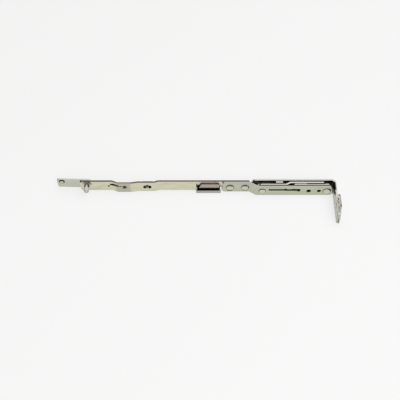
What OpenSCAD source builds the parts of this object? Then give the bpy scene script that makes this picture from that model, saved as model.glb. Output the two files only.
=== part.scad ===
// Tilt-turn window stay: hinge bracket, guide link, cranked stay arm and slide tongue.
// X runs along the stay with the hinge at +X, +Y points away from the sash, Z is up.
// Lengths along X are worked out from the arm pivot, which lies at X = 0 until the part is centred.

/* [Strip stock] */
// Width of the steel strips
strip_w = 16; // [14.5:0.5:18]
// Thickness of the steel strips
sheet_t = 1.9; // [1.6:0.1:2.1]
// Gap between two neighbouring layers of strip
layer_gap = 0.8; // [0.6:0.05:1]
// Bend radius at the middle of the sheet
bend_r = 3; // [2.2:0.2:3.4]
// Corner radius of a sheared strip end
end_r = 2; // [1:0.5:3]

/* [Hinge bracket] */
// Base pivot to the outer face of the leg
pivot_inset = 23.75; // [23:0.25:30]
// Length of the leg in front of the front plate
leg_len = 35; // [33:0.5:43]
// Outer radius of the fold between back plate and leg
fold_r = 5; // [4:0.5:6]
// Corner radius of the back plate's free end
back_end_r = 6; // [5:0.5:7]
// Gap between the back plate and the end of the long bar
bar_gap = 1.7; // [1.4:0.1:3]

/* [Screw ear] */
// Sheet of the ear
ear_t = 1.4; // [1.2:0.1:1.9]
// Length of the ear along the leg
ear_len = 25; // [24:0.5:28]
// Height of the ear above the resting edge
ear_h = 22.6; // [22.2:0.2:27]
// How far the ear reaches past the end of the leg
ear_over = 1; // [0.4:0.2:3]
// Radius of the ear's upper corners
ear_r = 5; // [4:0.5:6]
// Length of the ear's slanted front
ear_slant = 8; // [6:0.5:9]
// Height of the ear's front edge
ear_toe = 7; // [5:0.5:9]
// Diameter of the screw holes
screw_d = 4.4; // [4:0.1:5]
// Countersunk diameter of the screw holes
sink_d = 5.6; // [5.2:0.1:6]
// Distance between the two screw holes
screw_pitch = 10.5; // [9.5:0.5:11]
// Height of the screw holes above the resting edge
screw_z = 18.8; // [18.5:0.1:19]

/* [Links] */
// Base pivot to arm pivot
link_len = 54.8; // [52:0.1:60]
// Width of the guide link and the frame lug
link_w = 14; // [13:0.5:14.5]
// Round end of the guide link about the arm pivot
link_eye_r = 4.2; // [3.8:0.1:4.4]
// Length of the guide link past the base pivot
link_tail = 13; // [11:0.5:14]
// Base pivot to the near end of the guide link's joggle
joggle_start = 25; // [22:0.5:27]
// Length of the guide link's joggle
joggle_len = 4.5; // [4:0.25:5.5]
// Frame lug, pivot to its outer eye
lug_len = 31.5; // [28:0.5:33]
// Eye hole of the frame lug
lug_eye_d = 5; // [4:0.1:6]

/* [Front plate] */
// Gap between the front plate's end and the leg
plate_gap = 0.5; // [0.4:0.1:2]
// Corner radius of the front plate's hinge end
plate_r = 5; // [4.5:0.5:7]
// Arm pivot to the foot of the crank
crank_start = 5.8; // [5.6:0.1:7]
// Length of the crank
crank_len = 7.6; // [7:0.2:10]
// Length of the riveted tab
tab_len = 28.8; // [27:0.2:34]
// Length of the narrow groove
groove_len = 17.4; // [12:0.2:20]
// Height of the groove
groove_w = 2.6; // [1.8:0.1:3]
// Depth of the groove
groove_depth = 1.2; // [0.8:0.1:1.4]
// Length of the control slot
slot_len = 17; // [12:0.5:20]
// Height of the control slot
slot_w = 3.4; // [3:0.1:4]
// Arm pivot to the near end of the groove
groove_start = 6.4; // [6:0.1:8]
// Height of the groove and slot above the resting edge
slot_z = 10; // [9:0.25:11]
// Larger access hole
access_d = 5; // [4:0.1:6]
// Smaller access hole
access_small_d = 4.4; // [3.5:0.1:5]

/* [Long bar] */
// Front plate's face to the face of the bar's straight run
bar_y = 6.5; // [6:0.1:7]
// Straight run from the joint to the first step
bar_run = 98.3; // [92:0.1:120]
// Run that holds the guide pin
pin_run = 18; // [16:0.5:24]
// Run of the spring pocket
pocket_run = 14.6; // [13:0.2:18]
// Free end run
tail_run = 33.9; // [32:0.1:42]
// Length of the step next to the straight run
step_a_len = 3.5; // [3.4:0.1:5]
// Length of the step between pin run and pocket
step_b_len = 7; // [5:0.25:8]
// Length of the step between pocket and free end
step_c_len = 6.4; // [5.5:0.1:8]
// Offset of the pin run to the front
step_a = 1.4; // [1.2:0.1:1.8]
// Further offset of the pocket to the front
step_b = 1.1; // [0.8:0.1:1.6]
// Offset of the free end back from the pocket
step_c = 2.4; // [2:0.1:2.5]
// Height of the slit at its open end
slit_w = 3.4; // [2.4:0.1:4]
// Height of the slit at its narrow end
slit_tip = 1; // [0.6:0.1:1.6]
// Height of the slit and the locking stud above the resting edge
stud_z = 11; // [10.5:0.25:11.5]
// Small tooling hole
tooling_d = 2.4; // [1.8:0.1:3]

/* [Catch pocket] */
// Length of the pocket along the bar
catch_len = 26.5; // [22:0.5:30]
// Height of the pocket's front lip
lip_h = 4.7; // [4.1:0.2:5.7]
// How far the lip stands in front of the bar
lip_out = 4; // [3.6:0.1:4.6]
// Wall of the pocket
catch_t = 1; // [0.8:0.1:1.2]
// Sheet of the pocket's back leaf
leaf_back_t = 2; // [1.6:0.1:2.2]
// Height of the back leaf above the resting edge
catch_h = 13.6; // [12.8:0.1:14]

/* [Slide tongue] */
// Lower edge of the tongue's free end above the resting edge
tongue_low = 1.8; // [1.4:0.2:3]
// Upper edge of the tongue's free end above the resting edge
tongue_high = 15.4; // [15:0.2:17]
// Rise of the tongue's free end
tongue_lift = 1.6; // [0.6:0.2:2.4]
// Reach of the tongue past the free end of the bar
tongue_reach = 24.6; // [22:0.2:30]
// Corner radius of the tongue's free end
tongue_r = 2; // [1:0.5:4]
// Running gap between tongue and bar
tongue_gap = 0.2; // [0.15:0.05:0.3]
// Travel to each side
travel = 2.1; // [1.5:0.1:2.2]
// Locking stud, axis to the bar's free end
stud_inset = 7.3; // [6:0.1:8]
// Diameter of the stud's neck in the bar's slot
neck_d = 4; // [3.4:0.1:4.4]
// Outer diameter of the stud's roller
roller_d = 5.4; // [5.2:0.1:7]
// Length of the stud's roller
roller_len = 8.2; // [7:0.2:10]
// Flange of the stud in front of the bar
flange_d = 9.6; // [9.2:0.1:10.4]
// Thickness of the stud's flange
flange_t = 0.6; // [0.5:0.1:1]
// Spindle that carries the roller
spindle_d = 3; // [2.6:0.1:3.4]
// Guide pin diameter
pin_d = 3.4; // [3:0.1:4]
// Play of the guide pin in its slot
guide_play = 1.2; // [0.8:0.1:1.4]
// How far the guide pin stands in front of the bar
pin_out = 2.5; // [2:0.25:6]
// Flat button at the tongue's end
button_d = 6.6; // [6:0.2:7.4]
// Height of the flat button
button_h = 0.9; // [0.6:0.1:1.4]

/* [Rivets] */
// Domed head of the joint rivets
dome_d = 9; // [8:0.25:10]
// Height of the domed heads
dome_h = 2.3; // [1.6:0.1:2.6]
// Shank of the joint rivets and the base pivot
shank_d = 5; // [4.4:0.1:5.4]
// Distance between the two joint rivets
joint_pitch = 16.1; // [15:0.1:18]
// Flat head of the arm pivot rivet
arm_head_d = 7.7; // [7:0.1:8.4]
// Flat head of the lug rivet
lug_head_d = 9.2; // [8.5:0.1:10]
// Height of the flat heads
flat_h = 0.8; // [0.5:0.1:1.1]
// Shank of the arm pivot rivet
arm_shank_d = 4.5; // [4:0.1:4.8]
// Domed rear head of the base pivot
base_head_d = 11; // [10:0.25:12]
// Small rivets of the ear
ear_rivet_d = 3.2; // [2.8:0.1:3.6]
// Length of the distance block between back plate and guide link
distance_d = 8; // [7:0.25:8.5]

/* [Fits] */
// Radial running clearance of a pivot
run_fit = 0.05; // [0.03:0.01:0.08]
// Clearance between faces that pass each other
face_gap = 0.1; // [0.08:0.01:0.15]
// Clearance around a sunk head or in a slot
sink_gap = 0.3; // [0.25:0.05:0.5]

/* [Hidden] */
$fn = 48;
bend_steps = 4;
over = 1;
hair = 0.001;

// Layers, counted from the front plate to the back plate
function layer_y(n) = (n - 1) * (sheet_t + layer_gap);
back_y = layer_y(4);
tab_y = bar_y - sheet_t;
mid_z = strip_w / 2;

// Set-backs of small features from the edges that they belong to
joint_edge = 0.4;
catch_set = 2;
guide_set = 8;
button_set = 1.7;
button_edge = 0.3;
neck_over = 3.6;
locating_set = 9;
distance_set = 36.5;
access_set = [19.5, 8.5];
tooling_set = 3.5;
tooling_drop = 3;
spring_drop = 2;
slit_gap = 2.8;
slit_over = 2;
slit_drop = 0.6;
ear_rivet_pitch = 11;
screw_shift = 2.5;
lug_eye_edge = 5.5;
lug_end_r = 4;
link_end_r = 3;
link_relief = 2;

// Places along X, from the hinge side to the free end
base_x = link_len;
leg_out_x = base_x + pivot_inset;
leg_in_x = leg_out_x - sheet_t;
plate_end_x = leg_in_x - plate_gap;
lug_x = plate_end_x - link_w / 2;
distance_x = base_x - distance_set;
access_x = [for (set = access_set) lug_x - set];
bar_end_x = -crank_start - crank_len;
back_end_x = bar_end_x + bar_gap;
locating_x = back_end_x + locating_set;
tab_end_x = bar_end_x - tab_len;
joint_x = bar_end_x - dome_d / 2 - joint_edge;
step_a_x = bar_end_x - bar_run;
pin_run_x = step_a_x - step_a_len;
step_b_x = pin_run_x - pin_run;
pocket_x = step_b_x - step_b_len;
step_c_x = pocket_x - pocket_run;
tail_x = step_c_x - step_c_len;
bar_free_x = tail_x - tail_run;
tongue_free_x = bar_free_x - tongue_reach;

// Front faces of the bar's runs
pin_y = bar_y - step_a;
pocket_y = pin_y - step_b;
tail_y = pocket_y + step_c;
tongue_y = tail_y + sheet_t + tongue_gap;

// Fixed features of the bar and the tongue
catch_x = tab_end_x - catch_set;
guide_x = pin_run_x - guide_set;
spring_x = pocket_x - pocket_run / 2;
spring_z = stud_z - spring_drop;
stud_x = bar_free_x + stud_inset;
flange_y = tail_y - face_gap - flange_t;
tongue_end_x = pin_run_x - travel - face_gap;
button_x = tongue_free_x + button_d / 2 + button_set;
neck_x = stud_x + neck_over;
button_rise = tongue_lift * (neck_x - button_x) / (neck_x - tongue_free_x);
button_z = tongue_high + button_rise - button_edge - button_d / 2;
roller_y = flange_y - face_gap - roller_len;

// Screw ear
ear_y = -leg_len - ear_over;
screw_y = [for (side = [-1, 1]) ear_y + ear_len / 2 + screw_shift + side * screw_pitch / 2];
ear_rivet_y = [for (side = [-1, 1]) ear_y + (ear_len + side * ear_rivet_pitch) / 2];

// Small pieces
ear_head_rim = 1.4;
ear_head_d = ear_rivet_d + 2 * ear_head_rim;
ear_head_h = 0.4;
button_shank_d = 3;
pin_tip_h = 1.2;
cap_t = 0.6;
cap_rim = 0.7;
cap_d = spindle_d + 2 * cap_rim;
rivet_foot_h = 0.8;
rivet_foot_rim = 1;
rivet_foot_d = shank_d + 2 * rivet_foot_rim;
tail_head_rim = 1.2;
tail_head_d = arm_shank_d + 2 * tail_head_rim;
tail_head_h = 1.5;
sunk_h = 1.2;
sunk_rim = 1.5;
sunk_d = shank_d + 2 * sunk_rim;
stud_shank_d = 4;
collar_rim = 2.2;
collar_d = pin_d + 2 * collar_rim;
leaf_t = 0.6;
leaf_w = 7;
leaf_seat = 6;
eyelet_d = 3.2;
eyelet_bore_d = 1.8;
eyelet_head_d = 4.6;
eyelet_head_h = 0.5;
leaf_reach = 7;
spacer_d = 7;
block_edge = 0.6;
shank_low = 1.5;
shank_high = 9;
pin_eye = 3.6;
leaf_clear = 0.25;
catch_slant = 5.5;
catch_flare = 1.8;
catch_floor = 1.2;
catch_r = 1.5;
wall_h = 9;
tenon_w = 4;
tenon_h = 2.4;
tenon_pitch = 16;
tenon_z = 6.5;

// The part stands on its long edge, centred over the middle of its outline
front_y = ear_y;
rear_y = back_y + sheet_t + dome_h;
centre = [-(tongue_free_x + leg_out_x + ear_t) / 2, -(front_y + rear_y) / 2, 0];

zinc = [0.78, 0.78, 0.68];
bright = [0.84, 0.84, 0.80];

// Arc that blends the corner b between a and c
function unit(v) = v / norm(v);
function blend_arc(a, b, c, r) =
    let (u = unit(a - b), w = unit(c - b), half = acos(u * w) / 2,
        mid = b + unit(u + w) * r / sin(half),
        from = b + u * r / tan(half) - mid, to = b + w * r / tan(half) - mid,
        start = atan2(from.y, from.x), raw = atan2(to.y, to.x) - start,
        sweep = raw > 180 ? raw - 360 : raw < -180 ? raw + 360 : raw)
    [for (i = [0:bend_steps]) let (t = start + sweep * i / bend_steps) mid + r * [cos(t), sin(t)]];

// Path with every inner corner blended
function bent_path(p, r) = concat([p[0]],
    [for (i = [1:len(p) - 2]) each blend_arc(p[i - 1], p[i], p[i + 1], r)], [p[len(p) - 1]]);

// Direction across a path at point i, to the left of its run
function across(p, i) =
    let (d = unit(p[min(i + 1, len(p) - 1)] - p[max(i - 1, 0)])) [-d.y, d.x];

// Closed outline of a sheet that follows the middle line p
function sheet_outline(p, t) = concat([for (i = [0:len(p) - 1]) p[i] - across(p, i) * t / 2],
    [for (i = [len(p) - 1:-1:0]) p[i] + across(p, i) * t / 2]);

// Bent strip standing on its edge; the points give its front face
module bent_strip(points, t = sheet_t, w = strip_w, r = bend_r, z = 0) {
    middle = bent_path([for (p = points) p + [0, t / 2]], r);
    translate([0, 0, z]) linear_extrude(w) polygon(sheet_outline(middle, t));
}

// Flat outline in X and Z, as thick as y0 to y1
module plate_y(y0, y1) translate([0, y1, 0]) rotate([90, 0, 0]) linear_extrude(y1 - y0) children();

// Strip outline with round corners of radius ra at the low end and rb at the high end
module strip_face(x0, x1, ra, rb, z0 = 0, z1 = strip_w) {
    translate([x0 + ra, z0]) square([x1 - x0 - ra - rb, z1 - z0]);
    translate([x0, z0 + ra]) square([ra, z1 - z0 - 2 * ra]);
    translate([x1 - rb, z0 + rb]) square([rb, z1 - z0 - 2 * rb]);
    for (z = [z0 + ra, z1 - ra]) translate([x0 + ra, z]) circle(ra);
    for (z = [z0 + rb, z1 - rb]) translate([x1 - rb, z]) circle(rb);
}

// Slot with round ends from x0 to x1
module slot_face(x0, x1, z, w) strip_face(x0, x1, w / 2 - hair, w / 2 - hair, z - w / 2, z + w / 2);

// Round bar along Y
module rod_y(x, z, d, y0, y1) translate([x, y0, z]) rotate([-90, 0, 0]) cylinder(d = d, h = y1 - y0);

// Domed head on the plane y; it rises to the rear, or to the front if side is -1
module dome_y(x, z, y, d, h, side = 1) {
    ball_r = (d * d / 4 + h * h) / (2 * h);
    translate([x, y, z]) rotate([-90 * side, 0, 0]) intersection() {
        translate([0, 0, h - ball_r]) sphere(ball_r, $fn = 96);
        cylinder(d = d, h = h);
    }
}

// Flat head with a small chamfer, from the plane y to the front
module flat_head(x, z, y, d, h) {
    edge = h / 2;
    translate([x, y, z]) rotate([90, 0, 0]) {
        cylinder(d = d, h = h - edge);
        translate([0, 0, h - edge]) cylinder(d1 = d, d2 = d - 2 * edge, h = edge);
    }
}

// Round bar along X
module rod_x(y, z, d, x0, x1) translate([x0, y, z]) rotate([0, 90, 0]) cylinder(d = d, h = x1 - x0);

module bracket_plate() color(zinc) difference() {
    intersection() {
        linear_extrude(strip_w) {
            translate([back_end_x, back_y]) square([leg_out_x - fold_r - back_end_x, sheet_t]);
            translate([leg_in_x, -leg_len]) square([sheet_t, back_y + sheet_t - fold_r + leg_len]);
            translate([leg_out_x - fold_r, back_y + sheet_t - fold_r]) intersection() {
                difference() {
                    circle(fold_r);
                    circle(fold_r - sheet_t);
                }
                square(fold_r);
            }
        }
        plate_y(-leg_len - over, back_y + sheet_t + over)
            strip_face(back_end_x, leg_out_x + end_r, back_end_r, end_r);
    }
    rod_y(base_x, mid_z, shank_d, back_y - over, back_y + sheet_t + over);
    for (x = [distance_x, locating_x]) rod_y(x, mid_z, stud_shank_d, back_y - over, back_y + sheet_t + over);
    for (y = ear_rivet_y) rod_x(y, mid_z, ear_rivet_d, leg_in_x - over, leg_out_x + over);
}

// Outline of the ear in Y and Z, with a slanted front and two blended upper corners
module ear_face() {
    toe = [ear_y, ear_toe];
    front = [ear_y + ear_slant, ear_h];
    rear = [ear_y + ear_len, ear_h];
    foot = [ear_y + ear_len, 0];
    polygon(concat([[ear_y, 0], foot], blend_arc(foot, rear, front, ear_r),
        blend_arc(rear, front, toe, ear_r), [toe]));
}

module screw_ear() color(zinc) difference() {
    translate([leg_out_x, 0, 0]) rotate([90, 0, 90]) linear_extrude(ear_t) ear_face();
    for (y = screw_y) {
        rod_x(y, screw_z, screw_d, leg_out_x - over, leg_out_x + ear_t + over);
        translate([leg_out_x, y, screw_z]) rotate([0, 90, 0])
            cylinder(d1 = sink_d, d2 = screw_d, h = (sink_d - screw_d) / 2);
    }
    for (y = ear_rivet_y) rod_x(y, mid_z, ear_rivet_d, leg_out_x - over, leg_out_x + ear_t + over);
}

module ear_rivets() color(bright) for (y = ear_rivet_y) {
    rod_x(y, mid_z, ear_rivet_d, leg_in_x, leg_out_x + ear_t);
    translate([leg_in_x, y, 0]) rotate([0, 0, -90]) dome_y(0, mid_z, 0, ear_head_d, ear_head_h, -1);
}

module distance_button() color(bright) {
    plate_y(layer_y(3), back_y) strip_face(distance_x - distance_d / 2, distance_x + distance_d / 2,
        block_edge, block_edge, block_edge, strip_w - block_edge);
    rod_y(distance_x, mid_z, stud_shank_d, back_y, back_y + sheet_t);
}

module rear_locating_stud() color(bright) {
    rod_y(locating_x, mid_z, stud_shank_d, back_y, back_y + sheet_t);
    dome_y(locating_x, mid_z, back_y + sheet_t, dome_d, dome_h);
}

module base_pivot_rivet() color(bright) {
    rod_y(base_x, mid_z, sunk_d, layer_y(3), layer_y(3) + sunk_h - face_gap);
    rod_y(base_x, mid_z, shank_d, layer_y(3), back_y + sheet_t);
    rod_y(base_x, mid_z, spacer_d, layer_y(3) + sheet_t + face_gap, back_y);
    dome_y(base_x, mid_z, back_y + sheet_t, base_head_d, dome_h);
}

// The lower edge is cut back about the arm pivot, so that the crank of the arm swings past it
module guide_link_face() {
    low = (strip_w - link_w) / 2;
    relief_x = strip_w / 2 + link_relief;
    strip_face(relief_x, base_x + link_tail, link_end_r, link_end_r, low, low + link_w);
    strip_face(-link_eye_r, relief_x + 2 * link_end_r, link_eye_r, link_end_r,
        mid_z - link_eye_r, low + link_w);
}

module guide_link() color(zinc) difference() {
    intersection() {
        bent_strip([[-link_eye_r - over, layer_y(2)], [base_x - joggle_start - joggle_len, layer_y(2)],
            [base_x - joggle_start, layer_y(3)], [base_x + link_tail + over, layer_y(3)]]);
        plate_y(layer_y(2) - over, back_y) guide_link_face();
    }
    rod_y(base_x, mid_z, shank_d + 2 * run_fit, layer_y(2), back_y);
    rod_y(base_x, mid_z, sunk_d + 2 * sink_gap, layer_y(2), layer_y(3) + sunk_h);
    rod_y(0, mid_z, arm_shank_d, layer_y(2) - over, layer_y(3) + over);
}

module arm_pivot_rivet() color(bright) {
    flat_head(0, mid_z, -face_gap, arm_head_d, flat_h);
    rod_y(0, mid_z, arm_shank_d, -face_gap, layer_y(2) + sheet_t);
    rod_y(0, mid_z, spacer_d, sheet_t + face_gap, layer_y(2));
    rod_y(0, mid_z, tail_head_d, layer_y(2) + sheet_t, layer_y(2) + sheet_t + tail_head_h);
}

module front_plate() color(zinc) difference() {
    slot_x = groove_start + groove_len;
    intersection() {
        bent_strip([[tab_end_x, tab_y], [bar_end_x, tab_y], [-crank_start, 0], [plate_end_x, 0]]);
        plate_y(-over, back_y + over) strip_face(tab_end_x, plate_end_x, end_r, plate_r);
    }
    rod_y(0, mid_z, arm_shank_d + 2 * run_fit, -over, sheet_t + over);
    rod_y(lug_x, mid_z, shank_d, -over, sheet_t + over);
    rod_y(access_x[0], mid_z, access_d, -over, sheet_t + over);
    rod_y(access_x[1], mid_z, access_small_d, -over, sheet_t + over);
    for (i = [0, 1]) rod_y(joint_x - i * joint_pitch, mid_z, shank_d, tab_y - over, bar_y + over);
    plate_y(-over, groove_depth) slot_face(groove_start, slot_x + slot_w, slot_z, groove_w);
    plate_y(-over, sheet_t + over) slot_face(slot_x, slot_x + slot_len, slot_z, slot_w);
}

module lug_rivet() color(bright) {
    seat_y = layer_y(2) + sheet_t;
    flat_head(lug_x, mid_z, 0, lug_head_d, flat_h);
    rod_y(lug_x, mid_z, shank_d, 0, seat_y);
    rod_y(lug_x, mid_z, spacer_d, sheet_t, layer_y(2) - face_gap);
    rod_y(lug_x, mid_z, sunk_d, seat_y - sunk_h + face_gap, seat_y);
}

module frame_lug() color(zinc) difference() {
    front = layer_y(2);
    low = (strip_w - link_w) / 2;
    plate_y(front, front + sheet_t) strip_face(lug_x - lug_len - lug_eye_edge, lug_x + link_w / 2,
        lug_end_r, link_w / 2 - hair, low, low + link_w);
    rod_y(lug_x - lug_len, mid_z, lug_eye_d, front - over, front + sheet_t + over);
    rod_y(lug_x, mid_z, shank_d + 2 * run_fit, front - over, front + sheet_t + over);
    rod_y(lug_x, mid_z, sunk_d + 2 * sink_gap, front + sheet_t - sunk_h, front + sheet_t + over);
    rod_y(access_x[0], mid_z, access_d + 2 * sink_gap, front - over, front + sheet_t + over);
    rod_y(access_x[1], mid_z, access_small_d + 2 * sink_gap, front - over, front + sheet_t + over);
}

// Tenons that hold the catch pocket, as deep as the plane y1
module catch_tenons(y1) for (side = [-1, 1])
    translate([catch_x - catch_len / 2 + (side * tenon_pitch - tenon_w) / 2, bar_y, tenon_z])
        cube([tenon_w, y1 - bar_y, tenon_h]);

module long_bar() color(zinc) difference() {
    stud_half = travel + neck_d / 2 + face_gap;
    guide_half = travel + (pin_d + guide_play) / 2 + face_gap;
    intersection() {
        bent_strip([[bar_free_x, tail_y], [tail_x, tail_y], [step_c_x, pocket_y], [pocket_x, pocket_y],
            [step_b_x, pin_y], [pin_run_x, pin_y], [step_a_x, bar_y], [bar_end_x, bar_y]]);
        plate_y(pocket_y - over, tongue_y + over) strip_face(bar_free_x, bar_end_x, end_r, end_r);
    }
    plate_y(tail_y - over, tongue_y)
        slot_face(stud_x - stud_half, stud_x + stud_half, stud_z, neck_d + 2 * face_gap);
    plate_y(pocket_y - over, tongue_y)
        slot_face(guide_x - guide_half, guide_x + guide_half, mid_z, pin_d + 2 * guide_play);
    plate_y(pocket_y - over, tongue_y) polygon([
        [tail_x - slit_over, stud_z - slit_w / 2], [spring_x - slit_gap, stud_z - slit_drop - slit_tip / 2],
        [spring_x - slit_gap, stud_z - slit_drop + slit_tip / 2], [tail_x - slit_over, stud_z + slit_w / 2]]);
    rod_y(tail_x - tooling_set, stud_z - tooling_drop, tooling_d, tail_y - over, tongue_y);
    rod_y(spring_x, spring_z, eyelet_d, pocket_y - over, tongue_y);
    for (i = [0, 1]) rod_y(joint_x - i * joint_pitch, mid_z, shank_d, bar_y - over, tongue_y + sheet_t);
    catch_tenons(tongue_y + sheet_t);
}

// Scoop of sheet: a back leaf on the bar, a floor, a front lip and a side wall at each end
module catch_pocket() color(bright) {
    lip_y = bar_y - lip_out;
    leaf_y = bar_y - leaf_back_t;
    low_x = catch_x - catch_len;
    top_left = [low_x + catch_slant, catch_h];
    top_right = [catch_x - catch_flare, catch_h];
    foot_right = [catch_x - catch_flare, 0];
    plate_y(leaf_y, bar_y) polygon(concat([[low_x, 0], foot_right],
        blend_arc(foot_right, top_right, top_left, catch_r),
        blend_arc(top_right, top_left, [low_x, 0], catch_r)));
    translate([low_x, lip_y, 0]) cube([catch_len, lip_out, catch_floor]);
    translate([low_x, lip_y, 0]) cube([catch_len, catch_t, lip_h]);
    for (x = [low_x, catch_x - catch_t]) translate([x, 0, 0]) rotate([90, 0, 90]) linear_extrude(catch_t)
        polygon([[lip_y, 0], [bar_y, 0], [bar_y, wall_h], [leaf_y, wall_h], [lip_y + catch_t, lip_h],
            [lip_y, lip_h]]);
    catch_tenons(bar_y + sheet_t);
}

module joint_rivet(x) color(bright) {
    dome_y(x, mid_z, tab_y, dome_d, dome_h, -1);
    rod_y(x, mid_z, shank_d, tab_y, bar_y + sheet_t);
    rod_y(x, mid_z, rivet_foot_d, bar_y + sheet_t, bar_y + sheet_t + rivet_foot_h);
}

module joint_rivet_left() joint_rivet(joint_x - joint_pitch);

module joint_rivet_right() joint_rivet(joint_x);

module detent_spring() color(bright) difference() {
    seat_y = pocket_y + sheet_t;
    tip_y = tongue_y - leaf_t - leaf_clear;
    bent_strip([[spring_x - leaf_reach, tip_y], [spring_x - leaf_seat / 2, seat_y],
        [spring_x + leaf_seat / 2, seat_y], [spring_x + leaf_reach, tip_y]],
        leaf_t, leaf_w, leaf_t * 2, spring_z - leaf_w / 2);
    rod_y(spring_x, spring_z, eyelet_d, seat_y - over, seat_y + over);
}

module spring_rivet() color(bright) difference() {
    leaf_y = pocket_y + sheet_t + leaf_t;
    union() {
        flat_head(spring_x, spring_z, pocket_y, eyelet_head_d, eyelet_head_h);
        rod_y(spring_x, spring_z, eyelet_d, pocket_y, leaf_y);
        rod_y(spring_x, spring_z, eyelet_head_d, leaf_y, leaf_y + eyelet_head_h);
    }
    rod_y(spring_x, spring_z, eyelet_bore_d, pocket_y - over, leaf_y + over);
}

// Free end of the tongue, which rises a little; its two corners are blended
module tongue_head() {
    near_low = [neck_x, tongue_low];
    near_high = [neck_x, tongue_high];
    free_low = [tongue_free_x, tongue_low + tongue_lift];
    free_high = [tongue_free_x, tongue_high + tongue_lift];
    polygon(concat([near_low], [near_high], blend_arc(near_high, free_high, free_low, tongue_r),
        blend_arc(free_high, free_low, near_low, tongue_r)));
}

module slide_tongue() color(zinc) difference() {
    plate_y(tongue_y, tongue_y + sheet_t) {
        tongue_head();
        strip_face(bar_free_x, tongue_end_x, end_r, end_r, shank_low, shank_high);
        strip_face(guide_x - pin_eye - end_r, tongue_end_x, end_r, end_r, shank_low, mid_z + pin_eye);
    }
    rod_y(button_x, button_z, button_shank_d, tongue_y - over, tongue_y + sheet_t + over);
    rod_y(stud_x, stud_z, neck_d, tongue_y - over, tongue_y + sheet_t + over);
    rod_y(guide_x, mid_z, pin_d, tongue_y - over, tongue_y + sheet_t + over);
}

module end_button() color(bright) {
    flat_head(button_x, button_z, tongue_y, button_d, button_h);
    rod_y(button_x, button_z, button_shank_d, tongue_y, tongue_y + sheet_t);
}

module locking_stud() color(bright) {
    rod_y(stud_x, stud_z, neck_d, tail_y, tongue_y + sheet_t);
    rod_y(stud_x, stud_z, flange_d, flange_y, flange_y + flange_t);
    rod_y(stud_x, stud_z, spindle_d, roller_y - face_gap - cap_t, tail_y);
}

module stud_roller() color(bright) difference() {
    rod_y(stud_x, stud_z, roller_d, roller_y, roller_y + roller_len);
    rod_y(stud_x, stud_z, spindle_d + 2 * run_fit, roller_y - over, tail_y + over);
}

module stud_cap() color(bright) difference() {
    rod_y(stud_x, stud_z, cap_d, roller_y - face_gap - cap_t, roller_y - face_gap);
    rod_y(stud_x, stud_z, spindle_d, roller_y - over - cap_t, roller_y);
}

module guide_pin() color(bright) {
    rod_y(guide_x, mid_z, pin_d, pin_y - pin_out + pin_tip_h, tongue_y + sheet_t);
    dome_y(guide_x, mid_z, pin_y - pin_out + pin_tip_h, pin_d, pin_tip_h, -1);
}

module guide_collar() color(bright) difference() {
    rod_y(guide_x, mid_z, collar_d, pin_y + sheet_t + face_gap, tongue_y);
    rod_y(guide_x, mid_z, pin_d, pin_y, tongue_y + over);
}

translate(centre) {
    bracket_plate();
    screw_ear();
    ear_rivets();
    distance_button();
    rear_locating_stud();
    base_pivot_rivet();
    guide_link();
    arm_pivot_rivet();
    front_plate();
    lug_rivet();
    frame_lug();
    long_bar();
    catch_pocket();
    joint_rivet_left();
    joint_rivet_right();
    detent_spring();
    spring_rivet();
    slide_tongue();
    end_button();
    locking_stud();
    stud_roller();
    stud_cap();
    guide_pin();
    guide_collar();
}
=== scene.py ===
"""Looks of the tilt-turn window stay: plated strips, set rivets, turned pins and the studio."""
import logging
import math
from collections.abc import Sequence
from dataclasses import dataclass, field
from enum import Enum
from typing import ClassVar

import bpy
from mathutils import Matrix, Vector
from mathutils.bvhtree import BVHTree


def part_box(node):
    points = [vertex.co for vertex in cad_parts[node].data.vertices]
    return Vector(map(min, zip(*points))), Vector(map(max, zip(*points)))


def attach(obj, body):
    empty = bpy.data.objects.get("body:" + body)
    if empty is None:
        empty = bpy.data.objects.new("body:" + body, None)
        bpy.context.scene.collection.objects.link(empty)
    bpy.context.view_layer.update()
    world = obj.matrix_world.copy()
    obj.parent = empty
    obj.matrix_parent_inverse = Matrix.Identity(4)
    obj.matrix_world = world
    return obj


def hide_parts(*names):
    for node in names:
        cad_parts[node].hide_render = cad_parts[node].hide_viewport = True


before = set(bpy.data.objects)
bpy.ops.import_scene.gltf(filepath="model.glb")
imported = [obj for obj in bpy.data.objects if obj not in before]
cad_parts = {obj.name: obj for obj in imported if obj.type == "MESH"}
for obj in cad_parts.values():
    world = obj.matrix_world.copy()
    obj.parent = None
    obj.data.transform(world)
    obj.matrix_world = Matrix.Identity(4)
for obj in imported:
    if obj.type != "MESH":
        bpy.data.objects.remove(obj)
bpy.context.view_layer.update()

LOG = logging.getLogger("window_stay")
MM = 0.001
RECESS = "recess_light_and_shade"
HEAD_RADIUS = "head_radius"
Range = tuple[float, float]
Triple = tuple[float, float, float]
Colour = Triple
Socket = bpy.types.NodeSocket


class Slot(Enum):
    """Material slots of the record."""

    STRIP = "zinc_strip"
    CATCH = "zinc_catch"
    RIVET = "bright_rivet"
    TURNED = "turned_steel"
    SPRING = "spring_steel"


class Facing(Enum):
    """Turn that points a rivet's front head out of its strip."""

    FRONT = (math.pi / 2, 0.0, 0.0)
    REAR = (-math.pi / 2, 0.0, 0.0)
    HINGE_INSIDE = (0.0, -math.pi / 2, 0.0)


class Side(Enum):
    """Head of a rivet, as the rivet tree's inputs name it."""

    FRONT = "Front"
    REAR = "Rear"


class Reach(Enum):
    """Surfaces of a strip that a patch may colour."""

    ALL = "all"
    EDGES = "sheared edges"
    INSIDE = "faces that look into the fold"


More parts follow.
